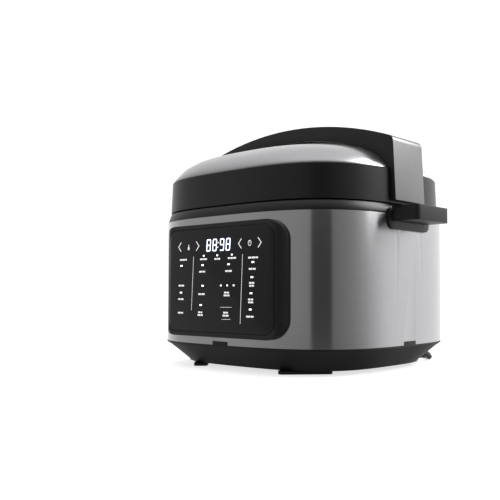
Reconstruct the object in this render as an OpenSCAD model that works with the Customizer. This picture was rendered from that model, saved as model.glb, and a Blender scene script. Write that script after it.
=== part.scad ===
// Electric pressure cooker with a twist-lock lid, a control panel and a drip cup.
// The pot's axis is vertical, +Z is up and the control panel faces -Y.
// The origin is on the floor, under the middle of the cooker's box.

/* [Body] */
// Width of the steel wrap, without the side handles
body_w = 290; // [240:1:350]
// Depth of the steel wrap, without panel and cup
body_d = 260; // [230:1:315]
// Squareness of the plan: 2 is an ellipse, more is squarer
plan_power = 3.2; // [2.6:0.1:4]
// Height of the steel wrap
wrap_h = 133; // [110:1:160]
// Thickness of the wrap's sheet
wrap_t = 0.8; // [0.5:0.1:1.2]
// Height of the base tray
base_h = 24; // [22:1:32]
// Wall of the base tray
base_wall = 2.5; // [2:0.1:3]
// How far the feet stand out below the tray
foot_h = 3; // [2:0.5:6]
// Length of a foot
foot_len = 54; // [30:1:60]
// Width of a foot
foot_w = 15; // [10:1:18]
// Height of the plastic rim above the wrap
rim_h = 10.4; // [8:0.2:14]
// Wall of the rim round the pot
rim_wall = 3.6; // [3:0.1:5]

/* [Pots] */
// Thickness of the inner pot's wall
pot_t = 1.5; // [1:0.1:2]
// Gap between inner pot and outer pot
pot_gap = 3.4; // [2:0.1:5]
// Thickness of the outer pot's sheet
outer_pot_t = 1; // [0.8:0.1:1.5]
// Height of the heating plate
plate_h = 10; // [8:0.5:11]
// Number of bayonet lugs
lug_count = 6; // [4:1:8]

/* [Panel] */
// Width of the panel's bezel
bezel_w = 177; // [140:1:190]
// Height of the panel's bezel
bezel_h = 117; // [90:1:120]
// How far the panel's flat face stands in front of the wrap
panel_proud = 4.2; // [3:0.1:8]
// Width of the touch glass
glass_w = 158; // [120:1:166]
// Height of the touch glass
glass_h = 108; // [80:1:112]
// Thickness of the touch glass
glass_t = 2.5; // [2:0.1:3]

/* [Lid] */
// Gap between rim and lid
lid_gap = 1.1; // [0.8:0.1:2]
// Height of the lid's plastic band
band_h = 35.5; // [28:0.5:45]
// Wall of the lid's plastic band
band_wall = 2.5; // [2:0.1:3]
// Rise of the steel dome above the band
dome_rise = 32; // [28:0.5:40]
// Thickness of the dome's sheet
dome_t = 0.8; // [0.6:0.1:1.2]
// Width of the carrying handle, front to back
arch_w = 55; // [45:1:60]
// Height of the carrying handle above the dome's top edge
arch_rise = 27; // [22:0.5:34]
// Thickness of the carrying handle at its middle
arch_t = 15; // [12:0.5:18]
// Drop of the carrying handle's top from its middle to the body's sides
arch_sag = 26.5; // [20:0.1:34]

/* [Side handles] */
// Width of a side handle, front to back
grip_w = 62; // [50:1:80]
// Reach of a side handle from the wrap
grip_reach = 30; // [22:1:40]
// Thickness of a side handle
grip_t = 15.3; // [12:0.1:18]
// Width of a side handle's flange
flange_w = 76; // [70:1:90]

/* [Drip cup] */
// Width of the drip cup
cup_w = 58; // [40:1:70]
// Height of the drip cup
cup_h = 62; // [40:1:70]
// Depth of the drip cup, front to back
cup_d = 20; // [16:1:26]

/* [Cord] */
// Diameter of the mains cord
cord_d = 7; // [6:0.1:8]

/* [Hidden] */

// Fineness
plan_steps = 72;
round_fn = 96;
small_fn = 32;

// Clearances
fit_gap = 0.3;
pin_gap = 0.05;
eps = 0.01;

// Plan
half_w = body_w / 2;
half_d = body_d / 2;
arch_r = (half_w * half_w + arch_sag * arch_sag) / (2 * arch_sag);
half_min = min(half_w, half_d);

// Levels
z_base = foot_h;
z_wrap = z_base + base_h;
z_rim = z_wrap + wrap_h;
z_rim_top = z_rim + rim_h;
z_lid = z_rim_top + lid_gap;
z_band_top = z_lid + band_h;
z_dome_top = z_band_top + dome_rise;
z_arch_top = z_dome_top + arch_rise;

// Base tray: how far its outline steps in and where its slope runs
lip_h = 1.8;
slope_in = 4.2;
floor_t = 2.5;
slope_run = base_h - lip_h - slope_in + 2;
toe_in = slope_in + slope_run + 4;
tab_w = 22;
tab_h = 3.5;

// Rim and lock ring
rim_edge_in = 0.6;
rim_top_in = 2.9;
rim_bore_r = half_min - rim_top_in - rim_wall;
lock_t = 1.6;
lug_t = 1.8;
lug_arc = 26;
lug_reach = 2.8;
lug_tip_r = rim_bore_r - lock_t - lug_reach;
z_lug = z_rim + 5.6;

// Lid liner, seal and pots, from the lugs inwards
liner_lug_r = rim_bore_r - lock_t - 0.5;
liner_r = lug_tip_r - 4.1;
liner_t = 1.2;
seal_r = liner_r - liner_t - fit_gap;
seal_w = 7.5;
rack_r = seal_r - seal_w - fit_gap;
rack_t = 1.5;
cone_r = rack_r - rack_t - 3;
pot_flange_r = liner_r - liner_t - 1.2;
pot_r = pot_flange_r - 7;
outer_pot_r = pot_r + pot_gap;
z_pot_top = z_rim + 4;
z_ledge = z_pot_top - pot_t - fit_gap;
z_seal = z_pot_top + fit_gap;
seal_h = 8.5;
z_liner = z_seal + seal_h + fit_gap;
liner_rise = 18;
z_liner_top = z_liner + liner_rise;

// Pot floor, heater and outer pot floor
z_outer_floor = z_base + 12;
z_plate = z_outer_floor + outer_pot_t + 3;
z_pot_floor = z_plate + plate_h + 0.5;
plate_r = pot_r - 17;
sensor_hole_r = 16;
sensor_r = 14;

// Panel
panel_z = z_wrap + 8 + bezel_h / 2;
panel_face_y = half_d + panel_proud;
panel_fall = 10;
panel_flat = glass_w - 9;
bezel_corner = 20;
glass_corner = 12;
window_w = glass_w - 30;
window_h = glass_h - 24;

// Lid shell
band_foot_in = rim_top_in;
band_top_in = 4.3;
dome_edge = 0.958;
tray_edge = 0.46;
tray_power = 2.5;
tray_t = 2;
tray_half_w = half_w * tray_edge;
tray_half_d = half_d * tray_edge;
z_tray_floor = z_liner_top + 24;
// The dome's section: plan scale and share of the rise
dome_section = [
    [dome_edge, 0],
    [0.953, 0.08],
    [0.924, 0.25],
    [0.895, 0.405],
    [0.851, 0.55],
    [0.814, 0.655],
    [0.748, 0.77],
    [0.63, 0.885],
    [0.54, 0.95],
    [tray_edge, 1],
];

// Carrying handle
wing_top_x = half_w - 0.9;
wing_foot_x = half_w + 2.6;
z_wing = z_lid + 2.8;
arch_leg_x = half_w * 0.67;
arch_under_drop = 16.166;
arch_under_r = (arch_leg_x * arch_leg_x + arch_under_drop * arch_under_drop) / (2 * arch_under_drop);
arch_skin = 4;
arch_corner = 7;
handle_screw_x = half_w * 0.83;
handle_screw_y = 13;

// Valve, release button and float, in plan
valve_reach = cone_r - 30.2;
valve_x = valve_reach * 0.735;
valve_y = valve_reach * 0.678;
button_y = -valve_reach * 0.53;
knob_r = 11;
cup_lobe_r = knob_r + 4.5;
guide_r = 9.5;
lever_z = z_tray_floor - 7.5;
lever_pivot_y = valve_y - (valve_y - button_y) / 3;
float_x = valve_reach * 0.37;
float_y = -valve_reach * 0.51;
float_travel = 5;
pipe_r = 4;

// Side handles
grip_z = z_rim + 7.8 - grip_t;
grip_corner = 6;
flange_drop = 8;
flange_proud = 2;
handle_screw_gap = 44;

// Drip cup
bracket_t = 2.5;
cup_wall = 1.6;
cup_z = z_wrap + 52;
cup_rear_y = half_d + bracket_t + fit_gap + cup_d;

// The axis of the pot sits where the box's middle falls on the origin
axis_y = (panel_face_y - cup_rear_y) / 2;

// Cord bay in the rear right corner of the tray
bay_x = half_w - 41;
bay_y = half_d - 58;
bay_w = 26;
bay_top = z_base + 14;
cord_z = z_base + 6.5;
cord_r = cord_d / 2;
relief_len = 24;

// Where the cord runs: out of the strain relief, down to the floor and into the coil
coil_x = -35;
coil_y = half_d + 75;
coil_mean_r = 40;
cord_route = [
    [bay_x, bay_y + relief_len, cord_z],
    [bay_x, bay_y + relief_len + 2.5, cord_z],
    [bay_x - 0.8, bay_y + 32.5, 7.9],
    [bay_x - 4.5, bay_y + 42, 4.8],
    [bay_x - 12.5, bay_y + 54, 3.6],
    [bay_x - 24, half_d + 5, 3.5],
    [bay_x - 38, half_d + 11, 3.5],
    [50, half_d + 15, 3.5],
    [33, half_d + 19, 3.5],
    [16, half_d + 23, 3.5],
    [coil_x + 34, coil_y - 48, 3.5],
    [coil_x + 23, coil_y - 45.4, 3.5],
];
// From the coil to the plug, which lies on its side
tail_route = [
    [coil_x - 7, coil_y - 50.1, 9.8],
    [coil_x - 17, coil_y - 48.8, 8.4],
    [coil_x - 29, coil_y - 46.2, 6],
    [coil_x - 42, coil_y - 42.4, 5],
    [coil_x - 54, coil_y - 37.6, 5.4],
    [coil_x - 66, coil_y - 31.2, 8],
    [coil_x - 75, coil_y - 23.2, 12],
    [coil_x - 82, coil_y - 13, 16.6],
    [coil_x - 86, coil_y - 5.5, 18],
    [coil_x - 87, coil_y - 3.6, 18],
];
plug_at = [coil_x - 87, coil_y - 3.6];
plug_turn = 117.8;
plug_r = 18;

// ---------- helpers ----------

// One closed ring of the plan at height z, with half sizes rx and ry
function ring(rx, ry, z, power = plan_power) = [
    for (i = [0 : plan_steps - 1])
        let (a = 360 * i / plan_steps)
        let (c = pow(abs(cos(a)) / rx, power) + pow(abs(sin(a)) / ry, power))
        let (r = pow(c, -1 / power))
        [r * cos(a), r * sin(a), z]
];

// Rings from a section of [inset, z] pairs, or of [scale, z] pairs
function inset_rings(section) = [for (p = section) ring(half_w - p[0], half_d - p[0], p[1])];
function scaled_rings(section, grow = 0) = [
    for (p = section) ring(half_w * p[0] + grow, half_d * p[0] + grow, p[1], dome_power(p[0]))
];

// The plan grows rounder towards the tray in the middle of the lid
function dome_power(s) = tray_power + (plan_power - tray_power) * (s - tray_edge) / (dome_edge - tray_edge);

// The dome's outer section, dropped by d
function dome_points(d) = [for (p = dome_section) [p[0], z_band_top + dome_rise * p[1] - d]];
function reversed(list) = [for (i = [len(list) - 1 : -1 : 0]) list[i]];

// Height of the carrying handle's top and underside at x
function arc_z(top, r, x) = top - r + sqrt(r * r - x * x);

// Skin through rings; a loop closes on itself, otherwise both ends are capped
module skin(rings, loop = false) {
    k = plan_steps;
    m = len(rings);
    spans = loop ? m : m - 1;
    sides = [
        for (j = [0 : spans - 1])
            for (i = [0 : k - 1])
                let (up = (j + 1) % m)
                let (next = (i + 1) % k)
                [j * k + i, up * k + i, up * k + next, j * k + next]
    ];
    caps = loop ? [] : [[for (i = [0 : k - 1]) i], [for (i = [k - 1 : -1 : 0]) (m - 1) * k + i]];
    polyhedron(points = [for (r = rings) each r], faces = concat(sides, caps));
}

// Flat outline of the plan, inset by d
module plan_outline(d = 0) {
    polygon([for (p = ring(half_w - d, half_d - d, 0)) [p[0], p[1]]]);
}

module plan_prism(d, z, h) {
    translate([0, 0, z])
        linear_extrude(h)
            plan_outline(d);
}

module oval_prism(rx, ry, z, h) {
    translate([0, 0, z])
        linear_extrude(h)
            polygon([for (p = ring(rx, ry, 0, tray_power)) [p[0], p[1]]]);
}

module rounded_outline(w, h, r) {
    hull() {
        for (x = [-w / 2 + r, w / 2 - r], y = [-h / 2 + r, h / 2 - r])
            translate([x, y])
                circle(r, $fn = small_fn);
    }
}

module tube(r_out, r_in, z, h) {
    translate([0, 0, z])
        difference() {
            cylinder(h = h, r = r_out, $fn = round_fn);
            translate([0, 0, -1])
                cylinder(h = h + 2, r = r_in, $fn = round_fn);
        }
}

module disc(r, z, h, fn = round_fn) {
    translate([0, 0, z])
        cylinder(h = h, r = r, $fn = fn);
}

// A block given by its lowest and highest corners
module block(low, high) {
    translate(low)
        cube(high - low);
}

// A prism that stands in the X-Z plane and is centred on y = 0
module upright(depth) {
    rotate([90, 0, 0])
        linear_extrude(depth, center = true)
            children();
}

// A pan-head screw: its head's top is at the origin and it points along -Z
module screw(r, len, head_r = 3.4, head_h = 2.2) {
    translate([0, 0, -head_h])
        cylinder(h = head_h, r = head_r, $fn = small_fn);
    translate([0, 0, -head_h - len])
        cylinder(h = len + eps, r = r, $fn = small_fn);
}

// ---------- base ----------

function tray_outer() = [
    [toe_in, z_base],
    [toe_in - 5, z_base + 0.9],
    [slope_in + slope_run - 2, z_base + 3],
    [slope_in, z_wrap - lip_h - slope_in + 1.2],
    [0, z_wrap - lip_h],
    [0, z_wrap],
];

function tray_inner() = [
    [base_wall, z_wrap],
    [base_wall, z_wrap - lip_h],
    [slope_in + base_wall * 1.3, z_wrap - lip_h - slope_in + 1.2],
    [slope_in + slope_run + 0.5, z_base + floor_t + 0.6],
    [toe_in + 1, z_base + floor_t],
];

// Foot positions follow the tray's toe on the diagonals
foot_x = (half_w - toe_in) * 0.66;
foot_y = (half_d - toe_in) * 0.845;

module at_feet() {
    for (sx = [-1, 1], sy = [-1, 1])
        translate([sx * foot_x, sy * foot_y, 0])
            rotate(sx * sy < 0 ? 45 : -45)
                children();
}

module tab(reach, extra) {
    for (turn = [0 : 90 : 270]) {
        half = (turn % 180 == 0) ? half_w : half_d;
        rotate(turn)
            translate([half - reach, -tab_w / 2 - extra, z_wrap - 1])
                cube([reach + 1, tab_w + 2 * extra, tab_h + 1 + extra]);
    }
}

// The four tabs have the outline of the wrap and its thickness
module base_tabs() {
    intersection() {
        tab(base_wall, 0);
        plan_prism(0, z_wrap - 2, tab_h + 3);
    }
}

module cord_bay(grow) {
    block([bay_x - bay_w / 2 - grow, bay_y - grow, z_base - 1],
          [half_w, half_d, bay_top + grow]);
}

module base_screw_places() {
    for (a = [45 : 90 : 315])
        rotate(a)
            translate([outer_pot_r - 22, 0, 0])
                children();
}

module base_tray() {
    color("#232325")
        difference() {
            union() {
                skin(inset_rings(concat(tray_outer(), tray_inner())));
                base_tabs();
                intersection() {
                    cord_bay(base_wall);
                    skin(inset_rings(tray_outer()));
                }
                base_screw_places()
                    disc(5, z_base + 0.5, z_outer_floor - z_base - 0.5, small_fn);
            }
            cord_bay(0);
            // hole for the cord's gland
            translate([bay_x, bay_y + 1, cord_z])
                rotate([90, 0, 0])
                    cylinder(h = base_wall + 2, r = cord_r + 1.8, $fn = small_fn);
            // screw holes with sunk heads
            base_screw_places()
                disc(2.1, z_base - 1, z_outer_floor, small_fn);
            base_screw_places()
                disc(4, z_base - 1, 4, small_fn);
            // foot pegs
            at_feet()
                disc(3.1, z_base - 1, floor_t + 2, small_fn);
            // air slots
            for (x = [-36 : 9 : 36])
                block([x - 1.5, -30, z_base - 1], [x + 1.5, -10, z_base + floor_t + 1]);
            for (x = [-36 : 9 : 36])
                block([x - 1.5, 10, z_base - 1], [x + 1.5, 30, z_base + floor_t + 1]);
        }
}

module feet() {
    color("#1b1b1c")
        at_feet() {
            linear_extrude(z_base)
                rounded_outline(foot_len, foot_w, 5);
            disc(3, z_base - eps, floor_t + 1, small_fn);
        }
}

module base_screws() {
    color("silver")
        base_screw_places()
            translate([0, 0, z_base + 0.6])
                rotate([180, 0, 0])
                    screw(1.9, z_outer_floor - z_base - 0.8 + outer_pot_t, 3.6);
}

// ---------- body ----------

// The middle of the panel's window, through the wrap
module panel_window() {
    translate([0, -half_d, panel_z])
        upright(30)
            rounded_outline(window_w, window_h, 8);
}

module at_sides() {
    for (side = [0, 180])
        rotate(side)
            children();
}

// Axes of the two screws of a side handle, along +X
module handle_screw_axes(x) {
    for (y = [-handle_screw_gap / 2, handle_screw_gap / 2])
        translate([x, y, grip_z + 2])
            rotate([0, 90, 0])
                children();
}

module bracket_screw_axes(y) {
    for (x = [-cup_w / 4, cup_w / 4])
        translate([x, y, cup_z + cup_h / 2])
            rotate([-90, 0, 0])
                children();
}

module body_wrap() {
    color("#a9a9ab")
        difference() {
            plan_prism(0, z_wrap, wrap_h);
            plan_prism(wrap_t, z_wrap - 1, wrap_h + 2);
            tab(base_wall + 1, 0.3);
            panel_window();
            at_sides()
                handle_screw_axes(half_w - 6)
                    cylinder(h = 10, r = 2.3, $fn = small_fn);
            bracket_screw_axes(half_d - 6)
                cylinder(h = 10, r = 1.8, $fn = small_fn);
        }
}

// The rim is a moulded cap with a skirt inside the wrap and a round bore for the lock ring
module top_rim() {
    cap_t = 3;
    skirt_h = 8;
    color("#2b2b2d")
        difference() {
            union() {
                skin(inset_rings([[rim_edge_in, z_rim], [rim_edge_in, z_rim + 2],
                                  [rim_top_in, z_rim_top - 1], [rim_top_in + 1, z_rim_top]]));
                plan_prism(wrap_t + 0.2, z_rim - skirt_h, skirt_h + 1);
            }
            difference() {
                plan_prism(wrap_t + 2.4, z_rim - skirt_h - 1, skirt_h + 1 + rim_h - cap_t);
                disc(rim_bore_r + 2.4, z_rim - skirt_h - 2, skirt_h + rim_h + 2);
            }
            disc(rim_bore_r, z_rim - skirt_h - 2, skirt_h + rim_h + 4);
            at_sides()
                handle_screw_axes(half_w - 8)
                    cylinder(h = 10, r = 3.8, $fn = small_fn);
        }
}

module lug_sectors(r, z, h, arc) {
    for (i = [0 : lug_count - 1])
        rotate(i * 360 / lug_count)
            translate([0, 0, z])
                linear_extrude(h)
                    polygon([[0, 0], [r * cos(arc / 2), -r * sin(arc / 2)],
                             [r * cos(arc / 2), r * sin(arc / 2)]]);
}

// Steel ring that the lid locks into
module lock_ring() {
    color("#b8b8ba")
        difference() {
            disc(rim_bore_r - 0.1, z_ledge - 1, z_lug + lug_t - z_ledge + 1);
            disc(rim_bore_r - lock_t, z_ledge - 2, z_lug - z_ledge + 2);
            disc(lug_tip_r, z_ledge - 2, z_lug + lug_t + 2);
            difference() {
                disc(rim_bore_r - lock_t, z_lug - 1, lug_t + 2);
                lug_sectors(rim_bore_r + 20, z_lug - 2, lug_t + 4, lug_arc);
            }
        }
}

module outer_pot() {
    flange_t = 1;
    color("#9c9ca0")
        difference() {
            union() {
                disc(outer_pot_r + outer_pot_t, z_outer_floor, z_ledge - z_outer_floor);
                disc(rim_bore_r - lock_t - 0.2, z_ledge - flange_t, flange_t);
            }
            disc(outer_pot_r, z_outer_floor + outer_pot_t, z_ledge);
            disc(sensor_hole_r + 4, z_outer_floor - 1, 4);
            base_screw_places()
                disc(1.95, z_outer_floor - 1, 4, small_fn);
            plate_pillar_places()
                disc(2.1, z_outer_floor - 1, 4, small_fn);
        }
}

module inner_pot() {
    floor_thick = 2.2;
    color("#c9cacb")
        rotate_extrude($fn = round_fn)
            polygon([[0, z_pot_floor], [pot_r - 12, z_pot_floor], [pot_r - 4, z_pot_floor + 3.5],
                     [pot_r, z_pot_floor + 12], [pot_r, z_pot_top - pot_t],
                     [pot_flange_r, z_pot_top - pot_t], [pot_flange_r, z_pot_top],
                     [pot_r - pot_t, z_pot_top], [pot_r - pot_t, z_pot_floor + 12.4],
                     [pot_r - 5, z_pot_floor + 5], [pot_r - 12.5, z_pot_floor + floor_thick],
                     [0, z_pot_floor + floor_thick]]);
}

// ---------- heater and thermostat ----------

module plate_pillar_places() {
    for (a = [0 : 120 : 240])
        rotate(a)
            translate([plate_r - 18, 0, 0])
                children();
}

// Cast aluminium plate with its heating ring cast in below
module heating_plate() {
    color("#8d8f92")
        difference() {
            rotate_extrude($fn = round_fn)
                polygon([[sensor_hole_r, z_plate + 2], [plate_r - 34, z_plate + 2],
                         [plate_r - 32, z_plate], [plate_r - 8, z_plate], [plate_r, z_plate + 4],
                         [plate_r, z_plate + plate_h - 1], [plate_r - 1, z_plate + plate_h],
                         [sensor_hole_r, z_plate + plate_h]]);
            plate_pillar_places()
                disc(2, z_plate - 1, 6, small_fn);
        }
}

module plate_pillars() {
    color("silver")
        plate_pillar_places() {
            disc(4, z_outer_floor + outer_pot_t, 3, small_fn);
            disc(1.95, z_outer_floor - 2, 9, small_fn);
            disc(3.5, z_outer_floor - 2.5, 2.2, small_fn);
        }
}

// Cup that guides the thermostat's button and holds its spring
module thermostat_cup() {
    color("#b5b6b8")
        difference() {
            union() {
                disc(sensor_hole_r - 0.6, z_outer_floor + 0.5, 5);
                disc(sensor_hole_r + 8, z_outer_floor - 1, 1);
            }
            disc(9, z_outer_floor + 1.5, 6);
        }
}

module thermostat_button() {
    color("#c4c5c7")
        difference() {
            disc(sensor_r, z_outer_floor + 9.5, z_pot_floor - fit_gap - z_outer_floor - 9.5);
            disc(8.5, z_outer_floor + 8, 3.5);
        }
}

// A spring's outer shape as a thin sleeve
module thermostat_spring() {
    color("#8a8a8a")
        tube(7.5, 6.3, z_outer_floor + 1.5, 10);
}

// ---------- control panel ----------

// Section of the panel's face in plan: flat, then rolling back at both ends; d moves it inwards
module panel_face(d) {
    half = bezel_w / 2;
    flat = panel_flat / 2;
    run = half - flat;
    side = [for (i = [0 : 6]) let (t = i / 6) [flat + run * t, -(panel_face_y - d - panel_fall * t * t)]];
    polygon(concat([[-half, 0]], [for (p = reversed(side)) [-p[0], p[1]]], side, [[half, 0]]));
}

module panel_block(d, w, h, r) {
    intersection() {
        linear_extrude(z_rim)
            panel_face(d);
        translate([0, -half_d, panel_z])
            upright(80)
                rounded_outline(w, h, r);
    }
}

module panel_bezel() {
    color("#303034")
        difference() {
            panel_block(0, bezel_w, bezel_h, bezel_corner);
            plan_prism(0, 0, z_rim + 10);
            difference() {
                panel_block(-1, glass_w, glass_h, glass_corner);
                linear_extrude(z_rim)
                    panel_face(glass_t + 0.1);
            }
            panel_window();
        }
}

module panel_glass() {
    color("#0c0c0f")
        difference() {
            panel_block(0.2, glass_w - 0.4, glass_h - 0.4, glass_corner);
            linear_extrude(z_rim)
                panel_face(glass_t);
        }
}

// Distance of the control board's front and of the power board's front from the pot's axis
board_y = panel_face_y - glass_t - 4.5;
board_t = 1.6;
power_y = board_y - 8;

// Axes of the four posts that carry both boards, pointing to the rear from distance y
module board_post_axes(y) {
    for (x = [-1, 1], z = [-1, 1])
        translate([x * (window_w / 2 - 8), -y, panel_z + z * (window_h / 2 - 8)])
            rotate([-90, 0, 0])
                children();
}

module board_blank(y) {
    difference() {
        block([-window_w / 2 + 3, -y, panel_z - window_h / 2 + 3],
              [window_w / 2 - 3, -y + board_t, panel_z + window_h / 2 - 3]);
        board_post_axes(y + 1)
            cylinder(h = 5, r = 1.6, $fn = small_fn);
    }
}

module control_board() {
    color("#1f5b3a")
        board_blank(board_y);
}

module power_board() {
    color("#8a6d3b")
        board_blank(power_y);
}

module board_posts() {
    color("#d8d8d2")
        board_post_axes(board_y + 4.5) {
            cylinder(h = 4.5, r = 2.5, $fn = small_fn);
            cylinder(h = 16, r = 1.5, $fn = small_fn);
            translate([0, 0, 4.5 + board_t])
                cylinder(h = 8 - board_t, r = 2.5, $fn = small_fn);
        }
}

module display_module() {
    color("#dfe6f2")
        block([-24, -board_y - 4, panel_z + 22], [24, -board_y, panel_z + 34]);
}

// Relay, transformer, capacitor and terminals
module board_parts() {
    color("#333436")
        for (p = [[-35, -26, 18, 16], [-9, -22, 18, 20], [17, -26, 14, 12], [38, -18, 12, 26]])
            block([p[0] - p[2] / 2, -power_y - 5, panel_z + p[1] - p[3] / 2],
                  [p[0] + p[2] / 2, -power_y, panel_z + p[1] + p[3] / 2]);
}

// ---------- side handles ----------

module side_handle() {
    difference() {
        union() {
            translate([half_w + grip_reach / 2 - 10, 0, grip_z])
                linear_extrude(grip_t)
                    rounded_outline(grip_reach + 20, grip_w, grip_corner);
            intersection() {
                translate([half_w - 5, 0, grip_z - flange_drop + 12])
                    rotate([0, 90, 0])
                        linear_extrude(20)
                            rounded_outline(24, flange_w, 8);
                plan_prism(-flange_proud, z_wrap, wrap_h + 6);
            }
        }
        plan_prism(0, 0, z_lid);
        // hollow inside, open towards the wrap
        block([half_w - 30, -grip_w / 2 + 4, grip_z + 6],
              [half_w + grip_reach - 4, grip_w / 2 - 4, grip_z + grip_t - 4]);
        handle_screw_axes(half_w - 20)
            cylinder(h = 20 + 14, r = 1.9, $fn = small_fn);
    }
}

module handle_right() {
    color("#29292b")
        side_handle();
}

module handle_left() {
    color("#29292b")
        rotate(180)
            side_handle();
}

module handle_screws() {
    color("silver")
        at_sides()
            handle_screw_axes(half_w - wrap_t - 2.7)
                rotate([180, 0, 0])
                    screw(1.85, 14);
}

// ---------- drip cup ----------

module cup_bracket() {
    color("#29292b")
        difference() {
            union() {
                block([-cup_w / 2 - 3, half_d - 10, cup_z - 3],
                      [cup_w / 2 + 3, half_d + bracket_t, cup_z + cup_h + 8]);
                block([-cup_w / 2 - 3, half_d - 10, cup_z - 3],
                      [cup_w / 2 + 3, cup_rear_y - 6, cup_z - fit_gap]);
                block([-cup_w / 2 - 3, half_d - 10, cup_z + cup_h + 5.5],
                      [cup_w / 2 + 3, cup_rear_y - 6, cup_z + cup_h + 8]);
            }
            plan_prism(0, 0, z_rim);
            bracket_screw_axes(half_d - 12)
                cylinder(h = 12 + bracket_t + 1, r = 1.6, $fn = small_fn);
        }
}

module drip_cup() {
    front = half_d + bracket_t + fit_gap;
    color("#3a3b3e")
        difference() {
            translate([0, (front + cup_rear_y) / 2, cup_z])
                linear_extrude(cup_h)
                    rounded_outline(cup_w, cup_d, 5);
            translate([0, (front + cup_rear_y) / 2, cup_z + cup_wall])
                linear_extrude(cup_h)
                    rounded_outline(cup_w - 2 * cup_wall, cup_d - 2 * cup_wall, 5 - cup_wall);
        }
}

// ---------- lid ----------

module lid_band() {
    lip = 8;
    color("#1d1d1f")
        skin(inset_rings([[band_foot_in + band_wall, z_lid], [band_foot_in, z_lid],
                          [band_top_in - 0.2, z_band_top - 1], [band_top_in + 0.6, z_band_top],
                          [band_top_in + 0.8, z_band_top - dome_t],
                          [band_top_in + lip, z_band_top - dome_t], [band_top_in + lip, z_band_top - band_wall],
                          [band_top_in + band_wall, z_band_top - band_wall]]), loop = true);
}

module lid_dome() {
    color("#b3b3b5")
        difference() {
            skin(scaled_rings(concat(dome_points(0), reversed(dome_points(dome_t)))), loop = true);
            lid_handle_screw_places()
                disc(2.3, z_band_top, 60, small_fn);
            translate([valve_x, valve_y, 0])
                disc(cup_lobe_r + 0.3, z_band_top, 60);
            translate([valve_x, button_y, 0])
                disc(guide_r + 0.3, z_band_top, 60, small_fn);
        }
}

// Plastic ring that closes the lid from below
module lid_under_cover() {
    color("#29292b")
        difference() {
            plan_prism(band_foot_in + band_wall + 0.6, z_lid + 1.1, 2);
            disc(liner_r + 0.4, z_lid, 5);
        }
}

// Where the liner hangs from the valve tray
module post_places() {
    for (p = [[-0.63, -0.4], [-0.63, 0.4], [0.12, 0.62], [0.1, -0.62]])
        translate([valve_reach * p[0], valve_reach * p[1], 0])
            children();
}

// Sunken tray under the carrying handle, which holds valve, button and float
module valve_tray() {
    ear_x = 4.6;
    color("#252527")
        difference() {
            union() {
                difference() {
                    union() {
                        oval_prism(tray_half_w - 1, tray_half_d - 1, z_tray_floor,
                                   z_dome_top - z_tray_floor);
                        oval_prism(tray_half_w + 2.5, tray_half_d + 2.5, z_dome_top, 1.4);
                        translate([valve_x, valve_y, 0])
                            disc(cup_lobe_r, z_tray_floor, z_dome_top + 3 - z_tray_floor);
                    }
                    oval_prism(tray_half_w - 1 - tray_t, tray_half_d - 1 - tray_t,
                               z_tray_floor + tray_t, 60);
                    translate([valve_x, valve_y, 0])
                        disc(cup_lobe_r - tray_t, z_tray_floor + tray_t, 60);
                }
                // guide for the release button
                translate([valve_x, button_y, 0])
                    disc(guide_r, z_tray_floor, z_dome_top + 1.4 - z_tray_floor, small_fn);
                // ears of the lever's pin
                for (s = [-1, 1])
                    block([valve_x + s * (ear_x + 1.2) - 1.2, lever_pivot_y - 4, lever_z - 4],
                          [valve_x + s * (ear_x + 1.2) + 1.2, lever_pivot_y + 4, z_tray_floor + 1]);
                // posts that carry the liner
                post_places()
                    disc(4.5, z_liner_top, z_tray_floor + 1 - z_liner_top, small_fn);
            }
            translate([valve_x, button_y, 0])
                disc(7.4, z_tray_floor + tray_t + 2, 60, small_fn);
            translate([valve_x, button_y, 0])
                disc(3.4, z_tray_floor - 1, 60, small_fn);
            translate([valve_x, valve_y, 0])
                disc(7.2, z_tray_floor - 1, 10, small_fn);
            translate([float_x, float_y, 0])
                disc(3, z_tray_floor - 1, 10, small_fn);
            translate([valve_x, lever_pivot_y, lever_z])
                rotate([0, 90, 0])
                    cylinder(h = 40, r = 1.5, center = true, $fn = small_fn);
            post_places()
                disc(2, z_liner_top - 1, 13, small_fn);
        }
}

module liner_screws() {
    color("silver")
        post_places()
            translate([0, 0, z_liner_top - liner_t - 2.2])
                rotate([180, 0, 0])
                    screw(1.9, 12);
}

// Solid outer shape of band and dome, grown by d
module lid_envelope(d) {
    skin(concat(inset_rings([[band_foot_in - d, z_lid - 2], [band_top_in - d, z_band_top]]),
                scaled_rings(dome_points(-d), d)));
}

function arch_line(top, r, half) = [for (i = [0 : 24]) let (x = half * (1 - i / 12)) [x, arc_z(top, r, x)]];

// Side view of the carrying handle with its two wings
module arch_outline() {
    offset(r = arch_corner, $fn = small_fn)
        offset(delta = -arch_corner)
            polygon(concat([[wing_foot_x, z_wing - arch_corner]],
                           arch_line(z_arch_top, arch_r, wing_top_x),
                           [[-wing_foot_x, z_wing - arch_corner]]));
}

module arch_window(extra = 0) {
    polygon(concat(arch_line(z_arch_top - arch_t + extra, arch_under_r, arch_leg_x),
                   [[-arch_leg_x, z_lid], [arch_leg_x, z_lid]]));
}

module lid_handle_screw_places() {
    for (sx = [-1, 1], sy = [-1, 1])
        translate([sx * handle_screw_x, sy * handle_screw_y, 0])
            children();
}

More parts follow.
